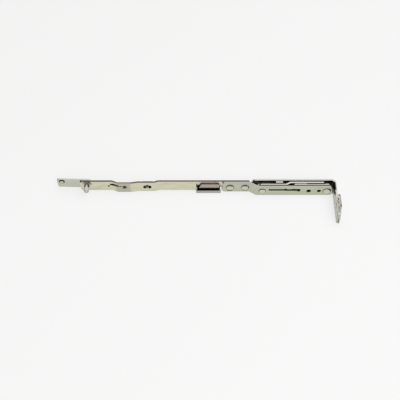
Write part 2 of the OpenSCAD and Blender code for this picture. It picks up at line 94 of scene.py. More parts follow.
class Graph:
    """Short hand for building a node tree."""

    def __init__(self, tree: bpy.types.NodeTree) -> None:
        """Keep the tree that nodes are added to."""
        self.tree = tree

    def add(self, kind: str, inputs: dict | None = None, **settings: object) -> bpy.types.Node:
        """Add one node.

        Args:
            kind: Blender's type name of the node.
            inputs: Values or sockets for the node's inputs, by name or place.
            **settings: Properties of the node.

        Returns:
            The new node.
        """
        node = self.tree.nodes.new(kind)
        for name, value in settings.items():
            setattr(node, name, value)
        for name, value in (inputs or {}).items():
            if isinstance(value, Socket):
                self.tree.links.new(value, node.inputs[name])
            else:
                node.inputs[name].default_value = value
        return node

    def math(self, operation: str, *values: object) -> Socket:
        """Add a Math node and return its result."""
        return self.add("ShaderNodeMath", dict(enumerate(values)), operation=operation).outputs[0]

    def vector(self, operation: str, *values: object) -> Socket:
        """Add a Vector Math node and return its result."""
        return self.add("ShaderNodeVectorMath", dict(enumerate(values)), operation=operation).outputs[0]

    def noise(self, point: Socket, scale: float, detail: float, distortion: float = 0.0) -> Socket:
        """Add a noise and return its value."""
        inputs = {"Vector": point, "Scale": scale, "Detail": detail, "Distortion": distortion}
        return self.add("ShaderNodeTexNoise", inputs).outputs["Fac"]

    def stretch(self, point: Socket, scale: Triple) -> Socket:
        """Scale a point along each axis and return the result."""
        return self.add("ShaderNodeMapping", {"Vector": point, "Scale": scale}).outputs[0]

    def ramp(self, factor: Socket, stops: Sequence[tuple[float, Colour]]) -> Socket:
        """Add a colour ramp.

        Args:
            factor: Value that picks the colour.
            stops: Places and colours, from low to high.

        Returns:
            The ramp's colour.
        """
        node = self.add("ShaderNodeValToRGB", {"Fac": factor})
        elements = node.color_ramp.elements
        while len(elements) < len(stops):
            elements.new(1.0)
        for element, (place, colour) in zip(elements, stops):
            element.position = place
            element.color = (*colour, 1.0)
        return node.outputs["Color"]

    def mix(self, factor: Socket | float, low: Socket | Colour, high: Socket | Colour,
            blend: str = "MIX") -> Socket:
        """Mix two colours.

        Args:
            factor: Share of the second colour.
            low: First colour.
            high: Second colour.
            blend: Blender's name for the way of mixing.

        Returns:
            The mixed colour.
        """
        first, second = (value if isinstance(value, Socket) else (*value, 1.0) for value in (low, high))
        inputs = {0: factor, 6: first, 7: second}
        return self.add("ShaderNodeMix", inputs, data_type="RGBA", blend_type=blend).outputs[2]

    def blend(self, factor: Socket, low: Socket | float, high: Socket | float) -> Socket:
        """Mix two plain values and return the result."""
        return self.add("ShaderNodeMix", {0: factor, 2: low, 3: high}, data_type="FLOAT").outputs[0]

    def span(self, value: Socket, given: Range, wanted: Range) -> Socket:
        """Map a value from one range to another, clamped, and return the result."""
        return self.add("ShaderNodeMapRange", dict(enumerate((value, *given, *wanted)))).outputs[0]


def new_material(name: str) -> tuple[bpy.types.Material, Graph, bpy.types.Node]:
    """Make a material with nodes.

    Args:
        name: Name of the material.

    Returns:
        The material, the short hand for its tree and its shader.
    """
    made = bpy.data.materials.new(name)
    made.use_nodes = True
    return made, Graph(made.node_tree), made.node_tree.nodes["Principled BSDF"]


@dataclass(frozen=True)
class Skin:
    """Even surface that lies over a part of a finish."""

    colour: Colour
    roughness: float
    metal: float = 1.0


@dataclass(frozen=True)
class Patch:
    """Box, in millimetres of the frame, in which a finish has another skin."""

    low: Triple
    high: Triple
    skin: Skin
    soft: float = 0.3
    reach: Reach = Reach.ALL

    def mask(self, graph: Graph, point: Socket) -> Socket:
        """Add nodes that tell how far a point lies inside the box.

        Args:
            graph: Tree that is being built.
            point: Point in the object's own coordinates.

        Returns:
            1 inside the box, falling to 0 over the soft border.
        """
        middle = tuple((a + b) / 2 * MM for a, b in zip(self.low, self.high))
        half = tuple((b - a) / 2 * MM for a, b in zip(self.low, self.high))
        away = graph.vector("ABSOLUTE", graph.vector("SUBTRACT", point, middle))
        out = graph.add("ShaderNodeSeparateXYZ", {0: graph.vector("SUBTRACT", away, half)}).outputs
        farthest = graph.math("MAXIMUM", graph.math("MAXIMUM", out[0], out[1]), out[2])
        return graph.span(farthest, (0.0, self.soft * MM), (1.0, 0.0))


@dataclass
class Coat:
    """Colour, roughness and metal share of a surface while its finish is being built."""

    graph: Graph
    colour: Socket
    rough: Socket
    metal: Socket | float = 1.0

    def lay(self, factor: Socket, skin: Skin) -> None:
        """Lay a skin over part of the surface.

        Args:
            factor: 1 where the skin covers the surface.
            skin: What is laid.
        """
        self.colour = self.graph.mix(factor, self.colour, skin.colour)
        self.rough = self.graph.blend(factor, self.rough, skin.roughness)
        if skin.metal < 1.0 or isinstance(self.metal, Socket):
            self.metal = self.graph.blend(factor, self.metal, skin.metal)

    def connect(self, shader: bpy.types.Node, relief: Socket, strength: float, depth: float) -> None:
        """Give the surface to a shader.

        Args:
            shader: Principled shader of the material.
            relief: Height of the surface.
            strength: How strongly the relief shows.
            depth: Height, in metres, of the relief.
        """
        bump = self.graph.add("ShaderNodeBump", {"Height": relief, "Strength": strength, "Distance": depth})
        links = {"Base Color": self.colour, "Roughness": self.rough, "Normal": bump.outputs[0]}
        if isinstance(self.metal, Socket):
            links["Metallic"] = self.metal
        else:
            shader.inputs["Metallic"].default_value = self.metal
        for name, value in links.items():
            self.graph.tree.links.new(value, shader.inputs[name])


@dataclass(frozen=True)
class PlatedFinish:
    """Zinc plating with a thin passivation film that shifts from yellow to green and rose.

    The film's clouds and the rolling lines follow the strip. Top and bottom edge faces have a skin of their
    own, partly the sheared edges' tone and partly painted sheen, and slots and holes get painted shade;
    on the ear they get a painted see-through highlight instead.
    """

    name: str
    pale: Colour
    green: Colour
    rose: Colour
    roughness: float
    # edge faces' own skin, partly the sheared edges' tone and partly painted sheen: near white on the link,
    # bracket and tongue, dark on the bar and catch
    edge_tone_and_sheen: Skin
    # painted shade in slots, holes and between walls; the ear's finish paints a see-through highlight there
    # instead
    recess_light_and_shade: Skin = Skin((0.025, 0.022, 0.016), 0.5)
    patches: tuple[Patch, ...] = ()
    cloud_scale: float = 46.0
    cloud_stretch: Triple = (0.55, 1.0, 1.3)
    cloud_warp: float = 0.8
    cloud_stops: tuple[float, ...] = (0.30, 0.44, 0.56, 0.72)
    line_scale: float = 2400.0
    line_stretch: Triple = (0.02, 1.0, 1.0)
    line_spread: Range = (0.3, 0.7)
    line_tint: Range = (0.90, 1.06)
    speck_scale: float = 900.0
    speck_spread: Range = (0.35, 0.7)
    speck_wear: Range = (0.85, 1.25)
    speck_relief: float = 0.5
    edge_turn: Range = (0.45, 0.85)
    fold_turn: float = -0.5
    relief_strength: float = 0.5
    relief_depth: float = 0.004 * MM

    def film(self, graph: Graph, point: Socket) -> Socket:
        """Add the film's clouds.

        Args:
            graph: Tree that is being built.
            point: Point in the object's own coordinates.

        Returns:
            The film's colour.
        """
        stretched = graph.stretch(point, self.cloud_stretch)
        clouds = graph.noise(stretched, self.cloud_scale, detail=4.0, distortion=self.cloud_warp)
        colours = (self.rose, self.pale, self.pale, self.green)
        return graph.ramp(clouds, tuple(zip(self.cloud_stops, colours)))

    def material(self) -> bpy.types.Material:
        """Build the material.

        Returns:
            A new procedural material.
        """
        made, graph, shader = new_material(self.name)
        place = graph.add("ShaderNodeTexCoord").outputs
        point = place["Object"]
        lines = graph.noise(graph.stretch(point, self.line_stretch), self.line_scale, detail=2.0)
        specks = graph.noise(point, self.speck_scale, detail=3.0)
        tint = graph.span(lines, self.line_spread, self.line_tint)
        wear = graph.span(specks, self.speck_spread, self.speck_wear)
        normal = graph.add("ShaderNodeSeparateXYZ", {0: place["Normal"]}).outputs
        sheared = graph.span(graph.math("ABSOLUTE", normal["Z"]), self.edge_turn, (0.0, 1.0))
        coat = Coat(graph, graph.mix(1.0, self.film(graph, point), tint, "MULTIPLY"),
                    graph.math("MULTIPLY", wear, self.roughness))
        # painted sheen on top and bottom edge faces, over the sheared edges' own tone
        coat.lay(sheared, self.edge_tone_and_sheen)
        # painted shade on faces marked as recesses (a painted highlight on the ear)
        coat.lay(graph.add("ShaderNodeAttribute", attribute_name=RECESS).outputs["Fac"], self.recess_light_and_shade)
        for patch in self.patches:
            inside = patch.mask(graph, point)
            if patch.reach is Reach.EDGES:
                inside = graph.math("MULTIPLY", inside, sheared)
            elif patch.reach is Reach.INSIDE:
                outward = graph.math("ADD", normal["X"], normal["Y"])
                inside = graph.math("MULTIPLY", inside, graph.math("LESS_THAN", outward, self.fold_turn))
            coat.lay(inside, patch.skin)
        relief = graph.math("ADD", lines, graph.math("MULTIPLY", specks, self.speck_relief))
        coat.connect(shader, relief, self.relief_strength, self.relief_depth)
        return made


@dataclass(frozen=True)
class TurnedFinish:
    """Bright plated metal with faint rings from turning or setting, and a painted shade ring at the rim,
    both read from the head's own radius.
    """

    name: str
    bright: Colour
    dull: Colour
    roughness: float
    # painted shade: dark ring at a head's rim, where it meets the strip
    rim: Colour = (0.12, 0.12, 0.09)
    rim_shade_from: float = 0.88
    rim_shade_soft: float = 0.05
    patches: tuple[Patch, ...] = ()
    cloud_scale: float = 260.0
    cloud_spread: Range = (0.35, 0.65)
    speck_scale: float = 1500.0
    speck_spread: Range = (0.3, 0.7)
    speck_wear: Range = (0.8, 1.3)
    ring_count: float = 9.0
    ring_relief: float = 0.3
    relief_strength: float = 0.4
    relief_depth: float = 0.01 * MM

    def material(self) -> bpy.types.Material:
        """Build the material.

        Returns:
            A new procedural material.
        """
        made, graph, shader = new_material(self.name)
        point = graph.add("ShaderNodeTexCoord").outputs["Object"]
        clouds = graph.span(graph.noise(point, self.cloud_scale, detail=3.0), self.cloud_spread, (0.0, 1.0))
        specks = graph.noise(point, self.speck_scale, detail=2.0)
        wear = graph.span(specks, self.speck_spread, self.speck_wear)
        across = graph.add("ShaderNodeAttribute", attribute_name=HEAD_RADIUS).outputs["Fac"]
        # painted shade over the outer part of each head
        rim_shade_edge = (self.rim_shade_from - self.rim_shade_soft, self.rim_shade_from + self.rim_shade_soft)
        in_rim_shade = graph.span(across, rim_shade_edge, (0.0, 1.0))
        colour = graph.mix(in_rim_shade, graph.mix(clouds, self.bright, self.dull), self.rim)
        coat = Coat(graph, colour, graph.math("MULTIPLY", wear, self.roughness))
        for patch in self.patches:
            coat.lay(patch.mask(graph, point), patch.skin)
        rings = graph.math("SINE", graph.math("MULTIPLY", across, self.ring_count * math.tau))
        relief = graph.math("ADD", graph.math("MULTIPLY", rings, self.ring_relief), specks)
        coat.connect(shader, relief, self.relief_strength, self.relief_depth)
        return made


Finish = PlatedFinish | TurnedFinish

# Places on the long bar
# painted light: pale, rough skin on the bar's face just above the catch
CATCH_TOP_LIGHT = Patch((-0.4, 18.0, 13.7), (25.4, 18.6, 15.6), Skin((1.0, 0.95, 0.88), 0.75))
# painted highlight: near-white band on the bar by the catch's right end
CATCH_SIDE_HIGHLIGHT = Patch((23.4, 18.0, 6.0), (27.2, 18.6, 15.6), Skin((1.0, 0.96, 0.90), 0.7))
POCKET_FILM = Patch((-86.0, 15.0, -1.0), (-72.5, 22.0, 15.2), Skin((0.50, 0.475, 0.39), 0.2), soft=2.5)
JOINT_EDGE = Patch((32.0, 17.0, 15.0), (60.0, 23.0, 17.0), Skin((0.22, 0.22, 0.19), 0.3), soft=8.0,
                   reach=Reach.EDGES)
# painted dark reflection on the top edges near the bar's free end
FREE_EDGE_DARK_REFLECTION = Patch((-126.0, 17.0, 15.0), (-93.0, 23.0, 17.0), Skin((0.16, 0.155, 0.125), 0.3), soft=4.0,
                  reach=Reach.EDGES)
# painted shade: small near-black spot at the top corner of the bar's free end
FREE_END_SHADE = Patch((-124.0, 18.0, 14.9), (-123.4, 18.6, 15.7), Skin((0.03, 0.03, 0.02), 0.4), soft=0.9)
# painted shade: near-black inside the bar's slit
SLIT_SHADE = Patch((-90.0, 15.0, 10.8), (-84.6, 19.0, 12.9), Skin((0.012, 0.01, 0.008), 0.45), soft=1.0)

# Places on the front plate
# painted shade under the two joint rivets' domes, fainter under the right one
RIVET_SHADE = Patch((33.2, 16.3, 2.0), (37.6, 16.6, 3.4), Skin((0.10, 0.10, 0.075), 0.3), soft=0.8)
RIVET_SHADE_FAINT = Patch((49.4, 16.3, 2.2), (53.8, 16.6, 3.2), Skin((0.26, 0.26, 0.20), 0.3), soft=0.8)
# painted shade: near-black at both ends of the plate's slot
SLOT_END_SHADES = tuple(Patch((x - 0.9, 11.0, z - 1.2), (x + 0.9, 14.0, z + 1.2),
                        Skin((0.012, 0.012, 0.008), 0.5), soft=1.0)
                  for x, z in ((94.8, 10.5), (108.9, 8.8)))
# painted shade: dark line along the plate's top rear edge, in the gap to the strip behind
PLATE_SEAM_SHADE = Patch((66.0, 13.35, 15.5), (145.0, 14.0, 16.4), Skin((0.04, 0.04, 0.03), 0.3), soft=0.15)

# Places on the link and the lug
# painted shade: dark line along the link's top front edge, and near black in the gap beside the link
LINK_SEAM_SHADE = Patch((60.0, 14.3, 14.5), (148.0, 15.1, 15.4), Skin((0.04, 0.04, 0.03), 0.3), soft=0.15)
LINK_GAP_SHADE = Patch((117.0, 16.05, 13.0), (137.0, 17.4, 15.4), Skin((0.02, 0.02, 0.015), 0.35), soft=0.12)

# Places on the bracket and the ear
# painted shade: near black on the back plate behind the link's eye end
END_SHADE = Patch((61.0, 19.0, 6.0), (65.0, 20.3, 11.5), Skin((0.015, 0.015, 0.012), 0.5), soft=1.5)
# painted shade inside the bracket's fold: on the faces that look into it and on the top edges by the corner
FOLD_INSIDE_SHADE = Patch((141.5, 14.5, -1.0), (147.0, 20.2, 16.5), Skin((0.02, 0.02, 0.017), 0.4), soft=4.0,
                    reach=Reach.INSIDE)
FOLD_EDGE_SHADE = Patch((145.0, 8.5, 15.2), (147.2, 17.5, 17.0), Skin((0.06, 0.057, 0.045), 0.3), soft=1.0)
# painted highlights: near-white spots at the ear's two countersinks
EAR_SINK_HIGHLIGHTS = tuple(Patch((148.2, y - 2.6, 16.4), (148.7, y + 2.6, 21.2), Skin((0.99, 0.99, 0.97), 0.2),
                        soft=0.6)
                  for y in (-14.4, -3.9))

# Places on the catch pocket and the roller
# painted shade: darker, browner inside of the catch pocket
CATCH_INSIDE_SHADE = Patch((-2.0, 16.1, -1.0), (24.5, 18.6, 13.2), Skin((0.42, 0.37, 0.31), 0.18))
# painted highlight: near white on the catch's right end wall
CATCH_END_HIGHLIGHT = Patch((24.3, 14.0, 4.5), (26.0, 18.6, 9.6), Skin((0.98, 0.96, 0.92), 0.15), soft=0.1)
ROLLER_TIP = Patch((-122.0, 7.0, 6.0), (-114.0, 13.2, 15.0), Skin((0.66, 0.66, 0.60), 0.4, metal=0.0),
                   soft=0.8)

# Finishes of the strips
ZINC_BAR = PlatedFinish(
    "zinc_yellow_bar", pale=(0.68, 0.67, 0.49), green=(0.61, 0.64, 0.48), rose=(0.60, 0.55, 0.50),
    roughness=0.18, edge_tone_and_sheen=Skin((0.27, 0.185, 0.15), 0.30),
    patches=(CATCH_TOP_LIGHT, POCKET_FILM, JOINT_EDGE, FREE_EDGE_DARK_REFLECTION, FREE_END_SHADE, SLIT_SHADE, CATCH_SIDE_HIGHLIGHT))
ZINC_PLATE = PlatedFinish(
    "zinc_olive_plate", pale=(0.53, 0.54, 0.41), green=(0.48, 0.52, 0.40), rose=(0.50, 0.48, 0.42),
    roughness=0.18, edge_tone_and_sheen=Skin((0.68, 0.68, 0.62), 0.22),
    patches=(PLATE_SEAM_SHADE, RIVET_SHADE, RIVET_SHADE_FAINT, *SLOT_END_SHADES))
ZINC_LINK = PlatedFinish(
    "zinc_bright_link", pale=(0.60, 0.60, 0.52), green=(0.56, 0.58, 0.50), rose=(0.56, 0.54, 0.50),
    roughness=0.18, edge_tone_and_sheen=Skin((0.97, 0.97, 0.94), 0.16), patches=(LINK_SEAM_SHADE, LINK_GAP_SHADE))
ZINC_BRACKET = PlatedFinish(
    "zinc_dull_bracket", pale=(0.45, 0.46, 0.38), green=(0.40, 0.43, 0.36), rose=(0.42, 0.41, 0.38),
    roughness=0.26, edge_tone_and_sheen=Skin((0.98, 0.98, 0.95), 0.30), patches=(FOLD_INSIDE_SHADE, FOLD_EDGE_SHADE, END_SHADE))
ZINC_EAR = PlatedFinish(
    "zinc_pale_ear", pale=(0.66, 0.67, 0.61), green=(0.58, 0.60, 0.54), rose=(0.54, 0.54, 0.50),
    # white non-metal recess skin: painted see-through highlight in the ear's holes
    roughness=0.30, edge_tone_and_sheen=Skin((0.70, 0.70, 0.66), 0.34), recess_light_and_shade=Skin((0.97, 0.97, 0.95), 0.6, metal=0.0),
    patches=EAR_SINK_HIGHLIGHTS)
ZINC_TONGUE = PlatedFinish(
    "zinc_grey_tongue", pale=(0.57, 0.58, 0.49), green=(0.54, 0.57, 0.48), rose=(0.55, 0.54, 0.49),
    roughness=0.26, edge_tone_and_sheen=Skin((0.95, 0.95, 0.89), 0.34))
ZINC_CATCH = PlatedFinish(
    "zinc_warm_catch", pale=(0.42, 0.42, 0.38), green=(0.40, 0.41, 0.37), rose=(0.42, 0.40, 0.37),
    roughness=0.16, edge_tone_and_sheen=Skin((0.32, 0.25, 0.22), 0.20), patches=(CATCH_INSIDE_SHADE, CATCH_END_HIGHLIGHT))
SPRING_STEEL = PlatedFinish(
    "blank_spring_steel", pale=(0.56, 0.55, 0.52), green=(0.52, 0.53, 0.52), rose=(0.54, 0.50, 0.47),
    roughness=0.22, edge_tone_and_sheen=Skin((0.50, 0.48, 0.46), 0.25))

# Finishes of the rivets and the turned pieces
# rims in painted shade: a thin dark ring on the domes and a wide dark outline on the flat button
BRIGHT_RIVET = TurnedFinish("zinc_bright_rivet", bright=(0.66, 0.66, 0.56), dull=(0.57, 0.58, 0.48),
                            roughness=0.16, rim=(0.06, 0.06, 0.045), rim_shade_from=0.86)
FLAT_BUTTON = TurnedFinish("zinc_flat_button", bright=(0.64, 0.64, 0.54), dull=(0.58, 0.58, 0.49),
                           roughness=0.2, rim=(0.11, 0.11, 0.065), rim_shade_from=0.60)
BRIGHT_BLOCK = TurnedFinish("zinc_white_block", bright=(0.90, 0.90, 0.88), dull=(0.80, 0.80, 0.78),
                            roughness=0.3)
DARK_EYELET = TurnedFinish("dark_brass_eyelet", bright=(0.16, 0.15, 0.115), dull=(0.10, 0.095, 0.07),
                           roughness=0.3)
TURNED_STEEL = TurnedFinish("turned_bright_steel", bright=(0.70, 0.69, 0.66), dull=(0.60, 0.60, 0.56),
                            roughness=0.15, patches=(ROLLER_TIP,))
WHITE_PIN = TurnedFinish("zinc_white_pin", bright=(1.0, 1.0, 0.97), dull=(0.93, 0.93, 0.90), roughness=0.7)
DULL_STUD = TurnedFinish("turned_dull_stud", bright=(0.72, 0.72, 0.62), dull=(0.62, 0.62, 0.53),
                         roughness=0.5)


class Palette:
    """Materials that have been made, one for each finish."""

    made: ClassVar[dict[str, bpy.types.Material]] = {}

    @classmethod
    def of(cls, finish: Finish) -> bpy.types.Material:
        """Find or make the material of a finish.

        Args:
            finish: Finish that is wanted.

        Returns:
            Its material, made on first use.
        """
        if finish.name not in cls.made:
            cls.made[finish.name] = finish.material()
        return cls.made[finish.name]


@dataclass(frozen=True)
class EdgeBreak:
    """Small round on the edges of a stamped or turned piece."""

    width: float = 0.16 * MM
    segments: int = 3
    sharp_deg: float = 32.0


def bake(piece: bpy.types.Object) -> None:
    """Turn an object's live modifiers into a plain mesh.

    Args:
        piece: Object whose modifiers are evaluated and removed.
    """
    graph = bpy.context.evaluated_depsgraph_get()
    finished = bpy.data.meshes.new_from_object(piece.evaluated_get(graph), preserve_all_data_layers=True,
                                               depsgraph=graph)
    piece.modifiers.clear()
    piece.data = finished


def hand_over(piece: bpy.types.Object, body: str, nodes: tuple[str, ...]) -> None:
    """Parent a finished piece to its body's empty and hide the solids that it stands for.

    Args:
        piece: Finished piece at the origin.
        body: Name of the body that carries it.
        nodes: Names of the solids that it replaces.
    """
    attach(piece, body)
    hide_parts(*nodes)
    LOG.info("%s on %s, %d faces", piece.name, body, len(piece.data.polygons))


@dataclass
class StampedPiece:
    """A strip or block whose solid is right: its copy gets merged faces, broken edges and a finish."""

    MERGE: ClassVar[float] = 0.001 * MM
    FLAT_DEG: ClassVar[float] = 0.5
    WALL_REACH: ClassVar[float] = 6.0 * MM
    LIFT: ClassVar[float] = 0.02 * MM
    node: str
    body: str
    slot: Slot
    finish: Finish
    edges: EdgeBreak = field(default_factory=EdgeBreak)

    def build(self) -> bpy.types.Object:
        """Make the piece.

        Returns:
            The finished object.
        """
        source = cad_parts[self.node].data
        mesh = bpy.data.meshes.new(f"finish_{self.node}")
        mesh.from_pydata([v.co[:] for v in source.vertices], [], [p.vertices[:] for p in source.polygons])
        piece = bpy.data.objects.new(f"finish_{self.node}", mesh)
        bpy.context.scene.collection.objects.link(piece)
        self.break_edges(piece)
        self.smooth(piece)
        self.mark_recesses(piece.data)
        piece.data.materials.clear()
        piece.data.materials.append(Palette.of(self.finish))
        hand_over(piece, self.body, (self.node,))
        return piece

    def break_edges(self, piece: bpy.types.Object) -> None:
        """Merge the solid's triangles into whole faces and round their edges.

        Args:
            piece: Copy of the solid.
        """
        merge = piece.modifiers.new("merge", "WELD")
        merge.merge_threshold = self.MERGE
        flatten = piece.modifiers.new("flatten", "DECIMATE")
        flatten.decimate_type = "DISSOLVE"
        flatten.angle_limit = math.radians(self.FLAT_DEG)
        round_off = piece.modifiers.new("round_off", "BEVEL")
        round_off.width = self.edges.width
        round_off.segments = self.edges.segments
        round_off.limit_method = "ANGLE"
        round_off.angle_limit = math.radians(self.edges.sharp_deg)
        bake(piece)

    def smooth(self, piece: bpy.types.Object) -> None:
        """Shade bends and rounds smoothly and keep flat faces flat.

        Args:
            piece: Piece with broken edges.
        """
        for face in piece.data.polygons:
            face.use_smooth = True
        piece.data.set_sharp_from_angle(angle=math.radians(self.edges.sharp_deg))
        even = piece.modifiers.new("even", "WEIGHTED_NORMAL")
        even.keep_sharp = True
        bake(piece)

    def mark_recesses(self, mesh: bpy.types.Mesh) -> None:
        """Mark faces that look at another wall nearby or lie between two walls; finishes paint shade there
        (on the ear, a see-through highlight).

        Args:
            mesh: Finished mesh, which gets one value for each face.
        """
        tree = BVHTree.FromPolygons([v.co for v in mesh.vertices], [p.vertices[:] for p in mesh.polygons])
        marks = mesh.attributes.new(RECESS, "FLOAT", "FACE").data
        up = Vector((0.0, 0.0, 1.0))
        for face in mesh.polygons:
            start = face.center + self.LIFT * face.normal
            opposite = tree.ray_cast(start, face.normal, self.WALL_REACH)[0]
            walls = [tree.ray_cast(start, way, self.WALL_REACH)[0] for way in (up, -up)]
            marks[face.index].value = float(opposite is not None or None not in walls)


class RivetTree:
    """Geometry Nodes tree that turns, repeats and finishes a set rivet.

    A rivet is a front head, a rear head, a shank and a spacer. Each head is a turned profile that falls
    from its crown to its rim; the tree also stores how far out each point of a head lies.
    """

    SIZES: ClassVar[tuple[str, ...]] = (
        "Front Radius", "Front Height", "Front Power", "Rear Radius", "Rear Height", "Rear Power",
        "Shank Radius", "Grip", "Spacer Radius", "Spacer Place", "Spacer Height")
    CROWN_SHARE: ClassVar[float] = 0.8
    CRISP_DEG: ClassVar[float] = 40.0
    PROFILE_POINTS: ClassVar[int] = 26
    ROUND_POINTS: ClassVar[int] = 49
    DRUM_SIDES: ClassVar[int] = 40
    MERGE: ClassVar[float] = 0.0005 * MM
    made: ClassVar[bpy.types.NodeTree | None] = None

    @classmethod
    def tree(cls) -> bpy.types.NodeTree:
        """Find or make the tree.

        Returns:
            The tree, made on first use.
        """
        if cls.made is None:
            cls.made = cls.build()
        return cls.made

    @classmethod
    def build(cls) -> bpy.types.NodeTree:
        """Build the tree.

        Returns:
            A new Geometry Nodes tree with named inputs.
        """
        tree = bpy.data.node_groups.new("set_rivet", "GeometryNodeTree")
        tree.is_modifier = True
        cls.name_inputs(tree.interface)
        graph = Graph(tree)
        given = graph.add("NodeGroupInput").outputs
        front = cls.head(graph, given, Side.FRONT)
        rear = graph.add("GeometryNodeTransform", {
            "Geometry": cls.head(graph, given, Side.REAR), "Rotation": (math.pi, 0.0, 0.0),
            "Translation": cls.below(graph, given["Grip"])})
        shank = cls.drum(graph, given["Shank Radius"], given["Grip"], 0.0)
        spacer = cls.drum(graph, given["Spacer Radius"], given["Spacer Height"], given["Spacer Place"])
        joined = graph.add("GeometryNodeJoinGeometry")
        for part in (front, rear.outputs[0], shank, spacer):
            tree.links.new(part, joined.inputs[0])
        soft = graph.add("GeometryNodeSetShadeSmooth", {"Geometry": joined.outputs[0]}, domain="FACE")
        angle = graph.add("GeometryNodeInputMeshEdgeAngle")
        gentle = graph.math("LESS_THAN", angle.outputs[0], math.radians(cls.CRISP_DEG))
        crisp = graph.add("GeometryNodeSetShadeSmooth",
                          {"Geometry": soft.outputs[0], "Shade Smooth": gentle}, domain="EDGE")
        row = graph.add("GeometryNodeMeshLine", {
            "Count": given["Count"], "Start Location": given["Start"], "Offset": given["Pitch"]},
            mode="OFFSET")
        placed = graph.add("GeometryNodeInstanceOnPoints", {
            "Points": row.outputs[0], "Instance": crisp.outputs[0], "Rotation": given["Turn"]})
        plain = graph.add("GeometryNodeRealizeInstances", {"Geometry": placed.outputs[0]})
        dressed = graph.add("GeometryNodeSetMaterial", {
            "Geometry": plain.outputs[0], "Material": given["Finish"]})
        graph.add("NodeGroupOutput", {"Geometry": dressed.outputs[0]})
        return tree

    @classmethod
    def name_inputs(cls, sockets: bpy.types.NodeTreeInterface) -> None:
        """Give the tree its output and its named inputs.

        Args:
            sockets: Interface of the tree.
        """
        sockets.new_socket(name="Geometry", in_out="OUTPUT", socket_type="NodeSocketGeometry")
        kinds = dict.fromkeys(cls.SIZES, "NodeSocketFloat") | {"Count": "NodeSocketInt"}
        kinds |= dict.fromkeys(("Start", "Pitch", "Turn"), "NodeSocketVector")
        kinds["Finish"] = "NodeSocketMaterial"
        for name, kind in kinds.items():
            sockets.new_socket(name=name, in_out="INPUT", socket_type=kind)

    @classmethod
    def head(cls, graph: Graph, given: bpy.types.NodeOutputs, side: Side) -> Socket:
        """Turn one head, with its rim on the plane Z = 0 and its crown above.

        Args:
            graph: Tree that is being built.
            given: Outputs of the tree's input node.
            side: Which head is turned.

        Returns:
            The head as a closed mesh.
        """
        grid = graph.add("GeometryNodeMeshGrid", {
            "Size X": 1.0, "Size Y": 1.0, "Vertices X": cls.PROFILE_POINTS, "Vertices Y": cls.ROUND_POINTS})
        place = graph.add("ShaderNodeSeparateXYZ", {0: grid.outputs["UV Map"]})
        along, round_by = place.outputs["X"], graph.math("MULTIPLY", place.outputs["Y"], math.tau)
        crown = graph.math("MINIMUM", graph.math("DIVIDE", along, cls.CROWN_SHARE), 1.0)
        out = graph.math("SINE", graph.math("MULTIPLY", crown, math.pi / 2))
        left = graph.math("DIVIDE", graph.math("SUBTRACT", 1.0, along), 1.0 - cls.CROWN_SHARE)
        share = graph.math("MULTIPLY", out, graph.math("MINIMUM", left, 1.0))
        radius = graph.math("MULTIPLY", share, given[f"{side.value} Radius"])
        fall = graph.math("POWER", out, given[f"{side.value} Power"])
        rise = graph.math("MULTIPLY", graph.math("SUBTRACT", 1.0, fall), given[f"{side.value} Height"])
        point = graph.add("ShaderNodeCombineXYZ", {
            "X": graph.math("MULTIPLY", radius, graph.math("COSINE", round_by)),
            "Y": graph.math("MULTIPLY", radius, graph.math("SINE", round_by)), "Z": rise})
        kept = graph.add("GeometryNodeStoreNamedAttribute", {
            "Geometry": grid.outputs["Mesh"], "Name": HEAD_RADIUS, "Value": share},
            data_type="FLOAT", domain="POINT")
        turned = graph.add("GeometryNodeSetPosition", {
            "Geometry": kept.outputs[0], "Position": point.outputs[0]})
        closed = graph.add("GeometryNodeMergeByDistance", {
            "Geometry": turned.outputs[0], "Distance": cls.MERGE})
        return closed.outputs[0]

    @staticmethod
    def below(graph: Graph, depth: Socket) -> Socket:
        """Return a vector that leads straight down by the depth."""
        return graph.add("ShaderNodeCombineXYZ", {"Z": graph.math("MULTIPLY", depth, -1.0)}).outputs[0]

    @classmethod
    def drum(cls, graph: Graph, radius: Socket, height: Socket, top: Socket | float) -> Socket:
        """Make a plain cylinder that hangs below a plane.

        Args:
            graph: Tree that is being built.
            radius: Radius of the cylinder.
            height: Height of the cylinder.
            top: Depth of its upper end below the plane Z = 0.

        Returns:
            The cylinder's mesh.
        """
        made = graph.add("GeometryNodeMeshCylinder", {
            "Vertices": cls.DRUM_SIDES, "Radius": radius, "Depth": height})
        middle = graph.math("ADD", top, graph.math("MULTIPLY", height, 0.5))
        moved = graph.add("GeometryNodeTransform", {
            "Geometry": made.outputs["Mesh"], "Translation": cls.below(graph, middle)})
        return moved.outputs[0]


@dataclass(frozen=True)
class Head:
    """Head of a rivet in millimetres; a power of 2 makes a dome and a high one a flat disc."""

    radius: float
    height: float
    power: float = 2.0


@dataclass(frozen=True)
class Spacer:
    """Ring on a rivet's shank in millimetres; its place is the depth of its front end."""

    radius: float
    place: float
    height: float


@dataclass(frozen=True)
class RivetSize:
    """Sizes of a set rivet in millimetres; a rivet without a ring hides a small one in its shank."""

    front: Head
    rear: Head
    shank_radius: float
    grip: float
    spacer: Spacer = Spacer(1.0, 0.5, 0.5)

    def inputs(self) -> dict[str, float]:
        """Name the sizes as the rivet tree does.

        Returns:
            Lengths in metres and the heads' powers.
        """
        lengths = {"Front Radius": self.front.radius, "Front Height": self.front.height,
                   "Rear Radius": self.rear.radius, "Rear Height": self.rear.height,
                   "Shank Radius": self.shank_radius, "Grip": self.grip,
                   "Spacer Radius": self.spacer.radius, "Spacer Place": self.spacer.place,
                   "Spacer Height": self.spacer.height}
        named = {name: length * MM for name, length in lengths.items()}
        return named | {"Front Power": self.front.power, "Rear Power": self.rear.power}


